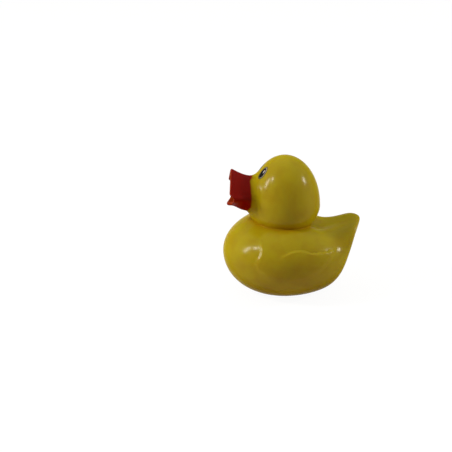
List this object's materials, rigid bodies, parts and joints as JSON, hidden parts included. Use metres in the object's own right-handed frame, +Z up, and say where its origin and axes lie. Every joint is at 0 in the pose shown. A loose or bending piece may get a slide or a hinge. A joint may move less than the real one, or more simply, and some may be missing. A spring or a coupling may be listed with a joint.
{
  "type": "rubber duck",
  "caption": "Hollow squeezable bath duck of soft vinyl with an open painted bill, low-relief wings and a fanned, upturned tail.",
  "frame": {"origin": "bottom centre of the bounding box, on the surface that the duck rests on; the flat of the base is 5 mm in front of it", "axes": "+Z up through the head, -Y towards the bill, +Y towards the tail, +X towards the duck's left side"},
  "size_m": [0.079, 0.0884, 0.0889],
  "materials": {
    "yellow_vinyl": "gloss"
  },
  "bodies": {
    "root": {"duck": "yellow_vinyl"}
  },
  "joints": []
}
